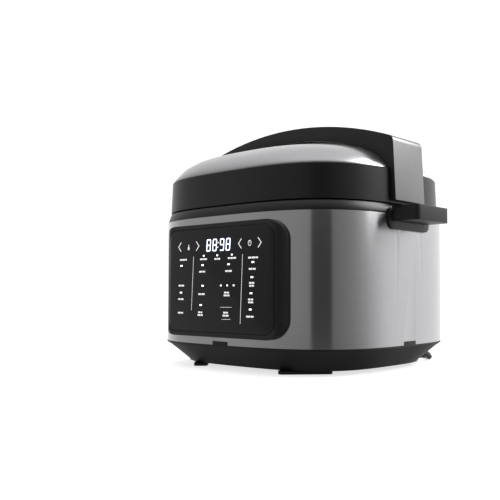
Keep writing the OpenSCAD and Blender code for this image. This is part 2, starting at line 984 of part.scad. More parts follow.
// Upper shell of the carrying handle: skin, skirts, wings and screw bosses
module lid_handle() {
    color("#262628")
        difference() {
            upright(arch_w)
                intersection() {
                    arch_outline();
                    translate([-200, z_wing])
                        square([400, 200]);
                }
            upright(arch_w + 2)
                arch_window();
            lid_envelope(0.3);
            difference() {
                upright(arch_w - 2 * arch_skin)
                    intersection() {
                        polygon(concat(arch_line(z_arch_top - arch_skin, arch_r, half_w - 12),
                                       [[-half_w + 12, z_band_top], [half_w - 12, z_band_top]]));
                        translate([-200, z_band_top])
                            square([400, 200]);
                    }
                lid_handle_screw_places()
                    disc(4.5, z_band_top, 90, small_fn);
            }
            lid_handle_screw_places()
                disc(2, z_band_top, z_dome_top - z_band_top - 2, small_fn);
        }
}

module lid_handle_under() {
    color("#202022")
        upright(arch_w - 2 * arch_skin - 0.6)
            difference() {
                intersection() {
                    arch_window(2.5);
                    translate([-arch_leg_x + 0.4, z_band_top])
                        square([2 * arch_leg_x - 0.8, 100]);
                }
                arch_window();
            }
}

module lid_handle_screws() {
    color("silver")
        lid_handle_screw_places()
            translate([0, 0, z_band_top + dome_rise * 0.5 - 4])
                rotate([180, 0, 0])
                    screw(1.9, dome_rise * 0.5 - 2);
}

// Pressed steel plate that closes the pot, with its lugs
module lid_liner() {
    foot_z = z_pot_top - 1;
    color("#c3c4c6")
        difference() {
            union() {
                rotate_extrude($fn = round_fn)
                    polygon([[0, z_liner_top - liner_t], [cone_r - 12, z_liner_top - liner_t],
                             [cone_r, z_liner], [liner_r - liner_t, z_liner], [liner_r - liner_t, foot_z],
                             [liner_r, foot_z], [liner_r, z_liner + liner_t], [cone_r + 1, z_liner + liner_t],
                             [cone_r - 11, z_liner_top], [0, z_liner_top]]);
                difference() {
                    intersection() {
                        disc(liner_lug_r, foot_z, lug_t);
                        lug_sectors(rim_bore_r + 20, foot_z - 1, lug_t + 2, lug_arc);
                    }
                    disc(liner_r - 0.2, foot_z - 1, lug_t + 2);
                }
            }
            translate([valve_x, valve_y, 0])
                disc(pipe_r + 0.1, z_liner, 60, small_fn);
            translate([float_x, float_y, 0])
                disc(3, z_liner, 60, small_fn);
            post_places()
                disc(2, z_liner, 60, small_fn);
        }
}

// Steel ring that holds the seal from inside
module seal_rack() {
    color("#b9babc")
        tube(rack_r, rack_r - rack_t, z_seal + 2.5, z_liner - z_seal - 2.5);
}

module sealing_ring() {
    color("#d9dad6")
        rotate_extrude($fn = round_fn)
            polygon([[seal_r - seal_w, z_seal + 2], [seal_r - seal_w + 2, z_seal], [seal_r, z_seal],
                     [seal_r, z_seal + seal_h], [seal_r - seal_w, z_seal + seal_h],
                     [seal_r - seal_w, z_seal + seal_h - 2.5], [seal_r - 2.5, z_seal + seal_h - 2.5],
                     [seal_r - 2.5, z_seal + 2.5], [seal_r - seal_w, z_seal + 3.2]]);
}

// ---------- valve, release lever and float ----------

z_valve = z_tray_floor + 6;

module steam_pipe() {
    color("#bfc0c2")
        translate([valve_x, valve_y, 0])
            difference() {
                union() {
                    disc(pipe_r, z_liner_top - liner_t - 6, z_valve + 14 - z_liner_top + liner_t + 6, small_fn);
                    disc(8, z_liner_top, 2.5, small_fn);
                }
                disc(1.6, z_liner_top - 12, 80, small_fn);
            }
}

module pipe_nut() {
    color("#aaaaac")
        translate([valve_x, valve_y, 0])
            difference() {
                disc(7.5, z_liner_top - liner_t - 4, 4, 6);
                disc(pipe_r + 0.05, z_liner, 60, small_fn);
            }
}

// Weight with a finger-grip knob, which sits on the pipe
module steam_valve() {
    z_top = z_dome_top + 11;
    color("#3a3b3e")
        translate([valve_x, valve_y, 0])
            difference() {
                union() {
                    disc(knob_r, z_valve + 5, z_top - z_valve - 5);
                    disc(6.6, lever_z + 2.2, z_valve + 6 - lever_z - 2.2, small_fn);
                }
                disc(pipe_r + pin_gap, lever_z, z_valve + 14.4 - lever_z, small_fn);
                for (s = [-1, 1])
                    translate([s * (knob_r + 3.5), 0, z_dome_top + 4])
                        cylinder(h = 40, r = 9, $fn = small_fn);
            }
}

// Perforated cap that keeps food out of the pipe
module valve_shield() {
    cap_r = 13;
    cap_h = 13;
    color("#b4b5b7")
        translate([valve_x, valve_y, z_liner_top - liner_t - cap_h])
            difference() {
                cylinder(h = cap_h, r = cap_r, $fn = small_fn);
                translate([0, 0, 1])
                    cylinder(h = cap_h, r = cap_r - 1, $fn = small_fn);
                for (a = [0 : 45 : 315])
                    rotate(a)
                        translate([8, 0, -1])
                            cylinder(h = 4, r = 1.2, $fn = small_fn);
            }
}

module release_button() {
    color("#6e6f72")
        translate([valve_x, button_y, 0]) {
            disc(7, z_dome_top - 7, 9, small_fn);
            disc(3, lever_z + 2.2, z_dome_top - 7 + eps - lever_z - 2.2, small_fn);
        }
}

module release_spring() {
    color("#8a8a8a")
        translate([valve_x, button_y, 0])
            tube(5.6, 4.4, z_tray_floor + tray_t + 2, z_dome_top - 9 - z_tray_floor - tray_t);
}

// Rocking lever: the button pushes one end down and the fork lifts the valve
module release_lever() {
    bar_w = 7;
    fork_w = 14;
    color("#4a4b4e")
        translate([valve_x, 0, lever_z])
            difference() {
                union() {
                    block([-bar_w / 2, button_y - 5, -1.5], [bar_w / 2, valve_y - 8, 1.5]);
                    block([-fork_w / 2, valve_y - 10, -1.5], [fork_w / 2, valve_y + 5, 1.5]);
                    translate([0, lever_pivot_y, 0])
                        rotate([0, 90, 0])
                            cylinder(h = bar_w, r = 3.4, center = true, $fn = small_fn);
                }
                block([-pipe_r - 1, valve_y - 5.5, -3], [pipe_r + 1, valve_y + 9, 3]);
                translate([0, lever_pivot_y, 0])
                    rotate([0, 90, 0])
                        cylinder(h = 30, r = 1.5 + pin_gap, center = true, $fn = small_fn);
            }
}

module lever_pin() {
    color("#c0c0c0")
        translate([valve_x, lever_pivot_y, lever_z])
            rotate([0, 90, 0])
                cylinder(h = 14, r = 1.5, center = true, $fn = small_fn);
}

module float_pin() {
    color("#c6c7c9")
        translate([float_x, float_y, 0]) {
            disc(2.5, z_liner_top - liner_t - float_travel - 5,
                 z_tray_floor + 3 - z_liner_top + liner_t + float_travel + 5,
                 small_fn);
            disc(4.6, z_tray_floor + tray_t + 0.4, 1.8, small_fn);
        }
}

module float_cap() {
    color("#d4d5d1")
        translate([float_x, float_y, 0])
            difference() {
                disc(6, z_liner_top - liner_t - float_travel - 5.4, 4.6, small_fn);
                disc(2.5, z_liner_top - liner_t - float_travel - 5, 6, small_fn);
            }
}

// ---------- cord ----------

function unit(v) = v / norm(v);
function heading(route, i) = unit(route[min(i + 1, len(route) - 1)] - route[max(i - 1, 0)]);

// Eight-sided ring round a point of the route
cord_sides = 8;
function cord_ring(p, way) =
    let (side = unit(cross(way, [0, 0, 1])))
    let (up = cross(side, way))
    [for (k = [0 : cord_sides - 1]) let (a = 360 * (k + 0.5) / cord_sides)
        p + cord_r * (cos(a) * side + sin(a) * up)];

module cord_tube(route) {
    m = len(route);
    n = cord_sides;
    rings = [for (i = [0 : m - 1]) cord_ring(route[i], heading(route, i))];
    sides = [for (j = [0 : m - 2], k = [0 : n - 1])
        [j * n + k, j * n + (k + 1) % n, (j + 1) * n + (k + 1) % n, (j + 1) * n + k]];
    caps = [[for (k = [n - 1 : -1 : 0]) k], [for (k = [0 : n - 1]) (m - 1) * n + k]];
    polyhedron(points = [for (r = rings) each r], faces = concat(sides, caps));
}

// Bush in the wall of the cord bay
module cord_gland() {
    color("#1b1b1c")
        translate([bay_x, bay_y, cord_z])
            rotate([90, 0, 0])
                difference() {
                    cylinder(h = base_wall, r = cord_r + 1.8, $fn = small_fn);
                    translate([0, 0, -1])
                        cylinder(h = base_wall + 2, r = cord_r, $fn = small_fn);
                }
}

// Tapered sleeve that stops the cord from bending sharply where it leaves the tray
module strain_relief() {
    color("#1b1b1c")
        difference() {
            translate([bay_x, bay_y, cord_z])
                rotate([-90, 0, 0])
                    cylinder(h = relief_len, r1 = cord_r + 1.6, r2 = cord_r + 0.4, $fn = small_fn);
            block([bay_x - 20, bay_y - 5, -20], [bay_x + 20, bay_y + 60, 0]);
        }
}

module cord_lead() {
    color("#1b1b1c")
        cord_tube(cord_route);
}

module cord_tail() {
    color("#1b1b1c")
        cord_tube(tail_route);
}

module cord_coil() {
    color("#1b1b1c")
        translate([coil_x, coil_y, 0])
            rotate_extrude($fn = round_fn)
                translate([coil_mean_r, cord_d])
                    square([2 * cord_d, 2 * cord_d], center = true);
}

module at_plug() {
    translate([plug_at[0], plug_at[1], plug_r])
        rotate(plug_turn)
            rotate([0, 90, 0])
                children();
}

module plug_body() {
    color("#1b1b1c")
        at_plug()
            rotate_extrude($fn = round_fn)
                polygon([[0, 0], [6, 0], [9, 14], [plug_r, 20], [plug_r, 36], [0, 36]]);
}

module plug_pins() {
    color("silver")
        at_plug()
            for (s = [-1, 1])
                translate([s * 9.5, 0, 36])
                    cylinder(h = 19, r = 2.4, $fn = small_fn);
}

// ---------- nodes ----------

module placed() {
    translate([0, axis_y, 0])
        children();
}

placed() base_tray();
placed() feet();
placed() base_screws();
placed() body_wrap();
placed() top_rim();
placed() lock_ring();
placed() outer_pot();
placed() inner_pot();
placed() heating_plate();
placed() plate_pillars();
placed() thermostat_cup();
placed() thermostat_button();
placed() thermostat_spring();
placed() panel_bezel();
placed() panel_glass();
placed() control_board();
placed() display_module();
placed() power_board();
placed() board_posts();
placed() board_parts();
placed() handle_left();
placed() handle_right();
placed() handle_screws();
placed() cup_bracket();
placed() drip_cup();
placed() lid_band();
placed() lid_dome();
placed() lid_under_cover();
placed() valve_tray();
placed() lid_handle();
placed() lid_handle_under();
placed() lid_handle_screws();
placed() lid_liner();
placed() liner_screws();
placed() seal_rack();
placed() sealing_ring();
placed() steam_pipe();
placed() pipe_nut();
placed() steam_valve();
placed() valve_shield();
placed() release_button();
placed() release_spring();
placed() release_lever();
placed() lever_pin();
placed() float_pin();
placed() float_cap();
placed() cord_gland();
placed() strain_relief();
placed() cord_lead();
placed() cord_coil();
placed() cord_tail();
placed() plug_body();
placed() plug_pins();
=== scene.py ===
import math
import bpy
import bmesh
from mathutils import Matrix, Vector


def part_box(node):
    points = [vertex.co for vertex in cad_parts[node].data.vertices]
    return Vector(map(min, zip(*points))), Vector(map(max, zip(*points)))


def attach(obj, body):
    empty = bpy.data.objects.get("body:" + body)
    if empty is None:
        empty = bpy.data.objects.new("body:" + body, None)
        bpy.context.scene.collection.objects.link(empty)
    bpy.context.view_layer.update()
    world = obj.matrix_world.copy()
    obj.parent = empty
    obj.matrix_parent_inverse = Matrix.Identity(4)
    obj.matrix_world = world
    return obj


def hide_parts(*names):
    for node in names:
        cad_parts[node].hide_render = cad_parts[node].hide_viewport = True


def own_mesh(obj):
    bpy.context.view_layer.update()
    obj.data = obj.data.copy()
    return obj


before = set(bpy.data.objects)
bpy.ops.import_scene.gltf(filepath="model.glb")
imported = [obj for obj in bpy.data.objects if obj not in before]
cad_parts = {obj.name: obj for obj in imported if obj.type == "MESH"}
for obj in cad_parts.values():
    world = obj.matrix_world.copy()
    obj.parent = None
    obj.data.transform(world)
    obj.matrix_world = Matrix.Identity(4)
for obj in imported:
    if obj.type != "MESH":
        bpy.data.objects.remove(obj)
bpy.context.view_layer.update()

scene = bpy.context.scene
scene.view_settings.view_transform = "Standard"
scene.view_settings.look = "None"

# ---------------------------------------------------------------- camera
# The cooker stands a little turned, seen from its front right corner and from
# just above the table. The lens is a normal one, and the frame is shifted so
# that the cooker stands right of the middle.
MM = 0.001
pot_low, pot_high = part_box("inner_pot")
axis_y = (pot_low.y + pot_high.y) / 2
view_turn = math.radians(40.75)
view_distance = 833 * MM
camera_data = bpy.data.cameras.new("camera")
camera_data.lens = 51.46
camera_data.sensor_width = 36
camera_data.shift_x = -0.106
camera_data.shift_y = 0.0024
camera_data.clip_start = 0.02
camera = bpy.data.objects.new("camera", camera_data)
scene.collection.objects.link(camera)
camera.location = (view_distance * math.sin(view_turn),
                   axis_y - view_distance * math.cos(view_turn), 82.7 * MM)
camera.rotation_euler = (math.pi / 2 + 0.055, 0, view_turn)
scene.camera = camera

# ---------------------------------------------------------------- mains cord
# A round black PVC cord, 7 mm thick and about 1.3 m long. It leaves the tray's
# rear right corner, drops to the table and is wound into a loose coil of four
# strands behind the cooker. Its moulded plug lies beside the coil.


def linear(hex_colour):
    """An sRGB hex colour as linear RGBA."""
    parts = [int(hex_colour[i:i + 2], 16) / 255 for i in (1, 3, 5)]
    return [p / 12.92 if p <= 0.04045 else ((p + 0.055) / 1.055) ** 2.4 for p in parts] + [1.0]


def add(material, kind, inputs=None, **settings):
    """Adds a node with its settings and its inputs, which are values or other sockets."""
    made = material.node_tree.nodes.new(kind)
    for key, value in settings.items():
        setattr(made, key, value)
    for key, value in (inputs or {}).items():
        if isinstance(value, bpy.types.NodeSocket):
            material.node_tree.links.new(value, made.inputs[key])
        else:
            made.inputs[key].default_value = value
    return made


def surface(name, colour, roughness, pattern=None, depth_mm=0.0, vary=0.0, rough_vary=0.0, **sockets):
    """A Principled surface whose pattern, a socket from 0 to 1, shades colour, roughness and relief."""
    material = bpy.data.materials.new(name)
    material.use_nodes = True
    tree = material.node_tree
    tree.nodes.clear()
    shader = add(material, "ShaderNodeBsdfPrincipled",
                 {"Base Color": linear(colour), "Roughness": roughness})
    for key, value in sockets.items():
        shader.inputs[key.replace("_", " ")].default_value = value
    out = add(material, "ShaderNodeOutputMaterial", {"Surface": shader.outputs[0]})
    if pattern:
        height = pattern(material)
        if vary:
            dark = [c * (1 - vary) for c in linear(colour)[:3]] + [1]
            light = [min(1, c * (1 + vary)) for c in linear(colour)[:3]] + [1]
            mix = add(material, "ShaderNodeMix", {"Factor": height, 6: dark, 7: light}, data_type="RGBA")
            tree.links.new(mix.outputs[2], shader.inputs["Base Color"])
        if rough_vary:
            span = add(material, "ShaderNodeMapRange", {"Value": height, "To Min": roughness - rough_vary,
                                                        "To Max": roughness + rough_vary})
            tree.links.new(span.outputs[0], shader.inputs["Roughness"])
        if depth_mm:
            bump = add(material, "ShaderNodeBump", {"Height": height, "Distance": depth_mm * MM})
            tree.links.new(bump.outputs[0], shader.inputs["Normal"])
    return material


def grain(size_mm, detail=2.0, stretch=(1, 1, 1)):
    """Noise whose grains are size_mm across, longer along an axis by its stretch."""
    def pattern(material):
        place = add(material, "ShaderNodeTexCoord").outputs["Object"]
        scale = [1 / (size_mm * MM * s) for s in stretch]
        spread = add(material, "ShaderNodeMapping", {"Vector": place, "Scale": scale}).outputs[0]
        return add(material, "ShaderNodeTexNoise",
                   {"Vector": spread, "Scale": 1.0, "Detail": detail}).outputs[0]
    return pattern


def new_object(name, mesh, body, material):
    made = bpy.data.objects.new(name, mesh)
    scene.collection.objects.link(made)
    if material:
        mesh.materials.append(material)
    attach(made, body)
    return made


def lathe(name, profile, place, body, material, turn=Matrix.Identity(4), steps=64):
    """A turned piece: profile holds (radius, height) pairs in mm, from one end to the other."""
    mesh = bpy.data.meshes.new(name)
    shape = bmesh.new()
    rings = []
    for radius, height in profile:
        if radius <= 0:
            rings.append([shape.verts.new((0, 0, height * MM))])
        else:
            rings.append([shape.verts.new((radius * MM * math.cos(math.tau * i / steps),
                                           radius * MM * math.sin(math.tau * i / steps),
                                           height * MM)) for i in range(steps)])
    for low, high in zip(rings, rings[1:]):
        for i in range(steps):
            j = (i + 1) % steps
            corners = [low[i % len(low)], low[j % len(low)], high[j % len(high)], high[i % len(high)]]
            kept = list(dict.fromkeys(corners))
            if len(kept) > 2:
                shape.faces.new(kept).smooth = True
    bmesh.ops.recalc_face_normals(shape, faces=shape.faces)
    shape.to_mesh(mesh)
    shape.free()
    mesh.transform(Matrix.Translation(place) @ turn)
    made = new_object(name, mesh, body, material)
    split = made.modifiers.new("edges", "EDGE_SPLIT")
    split.split_angle = math.radians(35)
    return made


def dress(node, material, round_mm=0.0, flat=True):
    """Gives a CAD node its finish, smooth curved faces and, if asked, slightly rounded edges."""
    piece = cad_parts[node]
    piece.data.materials.clear()
    piece.data.materials.append(material)
    for polygon in piece.data.polygons:
        polygon.material_index = 0
        polygon.use_smooth = True
    for layer in ("custom_normal", "sharp_edge", "sharp_face"):
        if layer in piece.data.attributes:
            piece.data.attributes.remove(piece.data.attributes[layer])
    weld = piece.modifiers.new("weld", "WELD")
    weld.merge_threshold = 0.012 * MM
    if flat:
        dissolve = piece.modifiers.new("flat faces", "DECIMATE")
        dissolve.decimate_type = "DISSOLVE"
        dissolve.angle_limit = math.radians(0.4)
    if round_mm:
        bevel = piece.modifiers.new("rounded edges", "BEVEL")
        bevel.width = round_mm * MM
        bevel.segments = 3
        bevel.limit_method = "ANGLE"
        bevel.angle_limit = math.radians(38)
        bevel.use_clamp_overlap = True
    split = piece.modifiers.new("edges", "EDGE_SPLIT")
    split.split_angle = math.radians(32)
    return piece


def smooth_path(points, step):
    """A Catmull-Rom curve through the points, as points about step apart."""
    ends = [2 * points[0] - points[1], *points, 2 * points[-1] - points[-2]]
    line = []
    for a, b, c, d in zip(ends, ends[1:], ends[2:], ends[3:]):
        count = max(1, round((c - b).length / step))
        for i in range(count):
            t = i / count
            line.append(0.5 * (2 * b + (c - a) * t + (2 * a - 5 * b + 4 * c - d) * t * t
                               + (3 * b - a - 3 * c + d) * t ** 3))
    return line + [points[-1]]


cord_jacket = surface("cord_jacket_pvc", "#19191b", 0.42, grain(1.2), 0.03, 0.12, 0.05)
cord_thick = 7
lead_points = [(104, 96, 9.5), (104, 98.5, 9.5), (103.2, 104.5, 7.9), (99.5, 114, 4.8), (91.5, 126, 3.6),
               (80, 135, 3.5), (66, 141, 3.5), (50, 145, 3.5), (33, 149, 3.5), (16, 153, 3.5),
               (-1, 157, 3.5), (-12, 159.6, 3.5)]
tail_points = [(-52, 156.2, 8.4), (-64, 158.8, 6), (-77, 162.6, 5), (-89, 167.4, 5.4), (-101, 173.8, 8),
               (-110, 181.8, 12), (-117, 192, 16.6), (-121, 199.5, 18), (-122, 201.4, 18)]
coil_middle = (-35, 205)
coil_strands = [(43.4, 3.6), (36.6, 3.6), (36.6, 10.4), (43.4, 10.4), (50.2, 10.4)]
coil_steps = 36


def coil_point(turned):
    """A point of the coil after that many turns, clockwise from the side near the cooker."""
    strand = min(int(turned), 3)
    into = turned - strand
    radius, height = coil_strands[strand]
    after = coil_strands[strand + 1]
    change = max(0.0, (into - 0.8) / 0.2)
    radius += (after[0] - radius) * change
    height += (after[1] - height) * change
    angle = -math.pi / 2 - math.tau * turned
    return (coil_middle[0] + radius * math.cos(angle), coil_middle[1] + radius * math.sin(angle), height)


coil_points = [coil_point(i / coil_steps) for i in range(4 * coil_steps + 1)]
cord_points = [Vector((x, y, z)) * MM + Vector((0, axis_y, 0))
               for x, y, z in [*lead_points, *coil_points, *tail_points]]
cord_line = smooth_path(cord_points, 4 * MM)
cord_curve = bpy.data.curves.new("cord", "CURVE")
cord_curve.dimensions = "3D"
cord_curve.bevel_depth = cord_thick / 2 * MM
cord_curve.bevel_resolution = 5
cord_spline = cord_curve.splines.new("POLY")
cord_spline.points.add(len(cord_line) - 1)
for point, place in zip(cord_spline.points, cord_line):
    point.co = (*place, 1)
cord_spline.use_smooth = True
cord_curve.materials.append(cord_jacket)
cord = bpy.data.objects.new("mains_cord", cord_curve)
scene.collection.objects.link(cord)
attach(cord, "cooker")
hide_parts("cord_lead", "cord_coil", "cord_tail")

plug_pvc = surface("plug_body_pvc", "#1b1b1d", 0.45, grain(0.6), 0.04, 0.1, 0.05)
nickel = surface("nickel_plated_brass", "#c9c6bd", 0.22, grain(0.8, stretch=(1, 1, 6)), 0.01, 0.05, 0.06,
                 Metallic=1.0)
dress("plug_body", plug_pvc, 1.2)
dress("plug_pins", nickel, 0.8)

# ---------------------------------------------------------------- strain relief
# A soft moulded sleeve with grooves round it, so that it bends in a curve and
# the cord never kinks at the tray. Its gland is clipped into the tray's wall.
relief_low, relief_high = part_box("strain_relief")
relief_long = (relief_high.y - relief_low.y) / MM
relief_profile = [(0, 0), (5.1, 0)]
for groove in range(6):
    start = 2 + groove * 3.5
    radius = 5.05 - 1.2 * start / relief_long
    relief_profile += [(radius, start), (radius - 0.9, start + 0.4), (radius - 0.9, start + 1.5),
                       (radius - 0.1, start + 1.9)]
relief_profile += [(3.9, relief_long - 0.4), (3.55, relief_long), (0, relief_long)]
soft_pvc = surface("soft_pvc", "#1a1a1c", 0.5, grain(0.7), 0.03, 0.1, 0.05)
relief = lathe("ribbed_sleeve", relief_profile,
               Vector(((relief_low.x + relief_high.x) / 2, relief_low.y, (relief_low.z + relief_high.z) / 2)),
               "cooker", soft_pvc, Matrix.Rotation(-math.pi / 2, 4, "X"))
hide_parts("strain_relief")
dress("cord_gland", soft_pvc, 0.3)

# ---------------------------------------------------------------- base tray
# The tray is one ABS moulding with a fine spark-eroded grain. It stands on four
# rubber bars across its corners. Four screws in sunk holes hold the pot to it.
moulded_abs = surface("abs_spark_eroded", "#0c0c0d", 0.5, grain(0.7, 4), 0.035, 0.1, 0.06)
foot_rubber = surface("foot_rubber", "#131314", 0.75, grain(0.5, 3), 0.05, 0.15, 0.05)
zinc_screw = surface("zinc_plated_steel", "#b9bcc0", 0.3, grain(0.5), 0.02, 0.08, 0.1, Metallic=1.0)
dress("base_tray", moulded_abs, 0.5)
dress("feet", foot_rubber, 0.6)
dress("base_screws", zinc_screw, 0.3)

# ---------------------------------------------------------------- steel wrap
# One sheet of stainless steel, 0.8 mm thick, brushed along its length before it
# is bent round. The brush lines run level round the pot and stretch each
# reflection up and down.


def brushed(name, colour, roughness, line_mm, stretch, aniso, turned):
    """Brushed stainless steel. The lines are drawn coarser than the real 0.1 mm ones, so that they show."""
    return surface(name, colour, roughness, grain(line_mm, 3, stretch), 0.0015, 0.06, 0.03,
                   Metallic=1.0, Anisotropic=aniso, Anisotropic_Rotation=turned)


wrap_steel = brushed("stainless_steel_brushed_round", "#c6c6c8", 0.2, 0.6, (60, 60, 1), 0.8, 0.25)
dress("body_wrap", wrap_steel, 0.2)

# ---------------------------------------------------------------- rim and lock ring
# The rim is a satin ABS cap pressed onto the wrap's edge. A stamped steel ring
# with six lugs sits in its bore, and the lid's lugs turn in under them.
satin_abs = surface("abs_satin", "#0e0e0f", 0.38, grain(0.9, 3), 0.02, 0.08, 0.05)
stamped_steel = surface("stainless_steel_stamped", "#bdbec0", 0.24, grain(2.5, 4), 0.012, 0.05, 0.07,
                        Metallic=1.0)
dress("top_rim", satin_abs, 0.5)
dress("lock_ring", stamped_steel, 0.3)

# ---------------------------------------------------------------- pots
# The outer pot is deep-drawn aluminium that holds the heater. The inner pot is
# satin stainless steel with a rolled-out flange, which lifts out.
drawn_aluminium = surface("aluminium_deep_drawn", "#a9abae", 0.38, grain(3, 3, (1, 1, 12)), 0.01, 0.06, 0.06,
                          Metallic=1.0)
satin_steel = surface("stainless_steel_satin", "#cfcfd0", 0.26, grain(1.2, 3, (20, 20, 1)), 0.006, 0.05, 0.05,
                      Metallic=1.0)
dress("outer_pot", drawn_aluminium, 0.2)
dress("inner_pot", satin_steel, 0.3)

# ---------------------------------------------------------------- heater and thermostat
# The heating plate is cast aluminium with a turned top, on three pillars. The
# thermostat's button stands in its middle on a spring and presses on the pot.


def turned_marks(material):
    """Rings that a lathe leaves, 0.8 mm apart, round the pot's axis."""
    place = add(material, "ShaderNodeTexCoord").outputs["Object"]
    moved = add(material, "ShaderNodeMapping", {"Vector": place, "Location": (0, -axis_y, 0)}).outputs[0]
    return add(material, "ShaderNodeTexWave", {"Vector": moved, "Scale": 1 / (0.8 * MM) / 20,
                                               "Distortion": 0.6, "Detail": 2.0},
               wave_type="RINGS", rings_direction="Z").outputs["Fac"]


turned_aluminium = surface("aluminium_turned", "#b0b1b3", 0.32, turned_marks, 0.02, 0.05, 0.05, Metallic=1.0)
dress("heating_plate", turned_aluminium, 0.3)
dress("plate_pillars", zinc_screw, 0.2)
dress("thermostat_cup", stamped_steel, 0.3)
dress("thermostat_button", turned_aluminium, 0.6)


def coil_spring(name, node, turns, wire_mm, body):
    """A round-wire compression spring in the place of a CAD sleeve."""
    low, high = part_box(node)
    middle = (low + high) / 2
    radius = (high.x - low.x) / 2 - wire_mm / 2 * MM
    curve = bpy.data.curves.new(name, "CURVE")
    curve.dimensions = "3D"
    curve.bevel_depth = wire_mm / 2 * MM
    curve.bevel_resolution = 3
    spline = curve.splines.new("POLY")
    count = turns * 20
    spline.points.add(count)
    start, rise = low.z + wire_mm / 2 * MM, high.z - low.z - wire_mm * MM
    for i, point in enumerate(spline.points):
        angle = math.tau * i / 20
        point.co = (middle.x + radius * math.cos(angle), middle.y + radius * math.sin(angle),
                    start + rise * i / count, 1)
    spline.use_smooth = True
    curve.materials.append(spring_wire)
    made = bpy.data.objects.new(name, curve)
    scene.collection.objects.link(made)
    bpy.context.view_layer.update()
    mesh = bpy.data.meshes.new_from_object(made.evaluated_get(bpy.context.evaluated_depsgraph_get()))
    bpy.data.objects.remove(made)
    made = bpy.data.objects.new(name, mesh)
    scene.collection.objects.link(made)
    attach(made, body)
    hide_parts(node)
    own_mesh(made)
    return made


spring_wire = surface("spring_steel_wire", "#8f9094", 0.3, grain(0.4, stretch=(1, 1, 4)), 0.01, 0.08, 0.06,
                      Metallic=1.0)
coil_spring("thermostat_coil", "thermostat_spring", 5, 1.1, "cooker")

# ---------------------------------------------------------------- control panel
# A dark ABS bezel wraps the front of the steel. A black acrylic touch window
# with a high gloss sits in it, and rolls back with the bezel at both ends.
bezel_abs = surface("abs_bezel_satin", "#131315", 0.36, grain(0.8, 3), 0.015, 0.06, 0.05)
black_acrylic = surface("acrylic_black_gloss", "#050506", 0.06, grain(60, 1), 0.0, 0.2, 0.02)
dress("panel_bezel", bezel_abs, 1.2)
dress("panel_glass", black_acrylic, 0.5)

# ---------------------------------------------------------------- display and marks
# Behind the window lie a lit four-digit display, small lamps and printed marks.
# The marks are plain signs and bars: arrows, a drop, a flame and short lines.
glass_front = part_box("panel_glass")[0].y
mark_proud = 0.08 * MM


def lit(name, colour, power):
    """A lit segment: faintly grainy milk-white plastic over a lamp."""
    material = surface(name, colour, 0.5, grain(1.5), 0.0, 0.08)
    shader = next(n for n in material.node_tree.nodes if n.type == "BSDF_PRINCIPLED")
    shader.inputs["Emission Color"].default_value = linear(colour)
    shader.inputs["Emission Strength"].default_value = power
    return material


def marks(name, outlines, material):
    """Thin raised marks on the window from (x, z) outlines in mm."""
    mesh = bpy.data.meshes.new(name)
    shape = bmesh.new()
    for outline in outlines:
        front = [shape.verts.new((x * MM, glass_front - mark_proud, z * MM)) for x, z in outline]
        back = [shape.verts.new((x * MM, glass_front + 0.3 * MM, z * MM)) for x, z in outline]
        shape.faces.new(front)
        shape.faces.new(back[::-1])
        for i in range(len(front)):
            j = (i + 1) % len(front)
            shape.faces.new((front[i], back[i], back[j], front[j]))
    bmesh.ops.recalc_face_normals(shape, faces=shape.faces)
    shape.to_mesh(mesh)
    shape.free()
    return new_object(name, mesh, "cooker", material)


def bar(x, z, width, height):
    """A flat bar centred on (x, z)."""
    return [(x - width / 2, z - height / 2), (x + width / 2, z - height / 2),
            (x + width / 2, z + height / 2), (x - width / 2, z + height / 2)]


def stroke(x0, z0, x1, z1, width):
    """A straight stroke from one point to another."""
    long = math.hypot(x1 - x0, z1 - z0)
    dx, dz = (x1 - x0) / long * width / 2, (z1 - z0) / long * width / 2
    return [(x0 - dz - dx, z0 + dx - dz), (x1 - dz + dx, z1 + dx + dz),
            (x1 + dz + dx, z1 - dx + dz), (x0 + dz - dx, z0 - dx - dz)]


def arrow(x, z, way):
    """An open arrow head that points left (-1) or right (1)."""
    return [stroke(x - way * 2, z + 4.6, x + way * 2, z, 0.9),
            stroke(x - way * 2, z - 4.6, x + way * 2, z, 0.9)]


def loop(x, z, radius, width, squeeze=1.0, start=0.0, end=1.0):
    """Strokes round a circle or a part of it."""
    steps = 14
    around = [(start + (end - start) * i / steps) * math.tau for i in range(steps + 1)]
    spots = [(x + radius * squeeze * math.sin(a), z + radius * math.cos(a)) for a in around]
    return [stroke(*a, *b, width) for a, b in zip(spots, spots[1:])]


def digit(x, z, lit_segments):
    """A seven-segment digit, leaning a little to the right."""
    tall, wide, thick, lean, gap = 11.5, 5.2, 1.25, 0.08, 0.75
    ends = {"a": (0, 2, 1, 2), "b": (1, 1, 1, 2), "c": (1, 0, 1, 1), "d": (0, 0, 1, 0),
            "e": (0, 0, 0, 1), "f": (0, 1, 0, 2), "g": (0, 1, 1, 1)}
    out = []
    for key in lit_segments:
        x0, z0, x1, z1 = ends[key]
        level = x0 != x1
        a = (x0 * wide + (gap if level else 0), z0 * tall / 2 + (0 if level else gap))
        b = (x1 * wide - (gap if level else 0), z1 * tall / 2 - (0 if level else gap))
        out.append(stroke(x - wide / 2 + a[0] + a[1] * lean, z - tall / 2 + a[1],
                          x - wide / 2 + b[0] + b[1] * lean, z - tall / 2 + b[1], thick))
    return out


def caption(x, z, pieces, tall=1.7, gap=0.7):
    """A row of short bars that stands for a printed word."""
    total = sum(pieces) + gap * (len(pieces) - 1)
    at = x - total / 2
    out = []
    for wide in pieces:
        out.append(bar(at + wide / 2, z, wide, tall))
        at += wide + gap
    return out


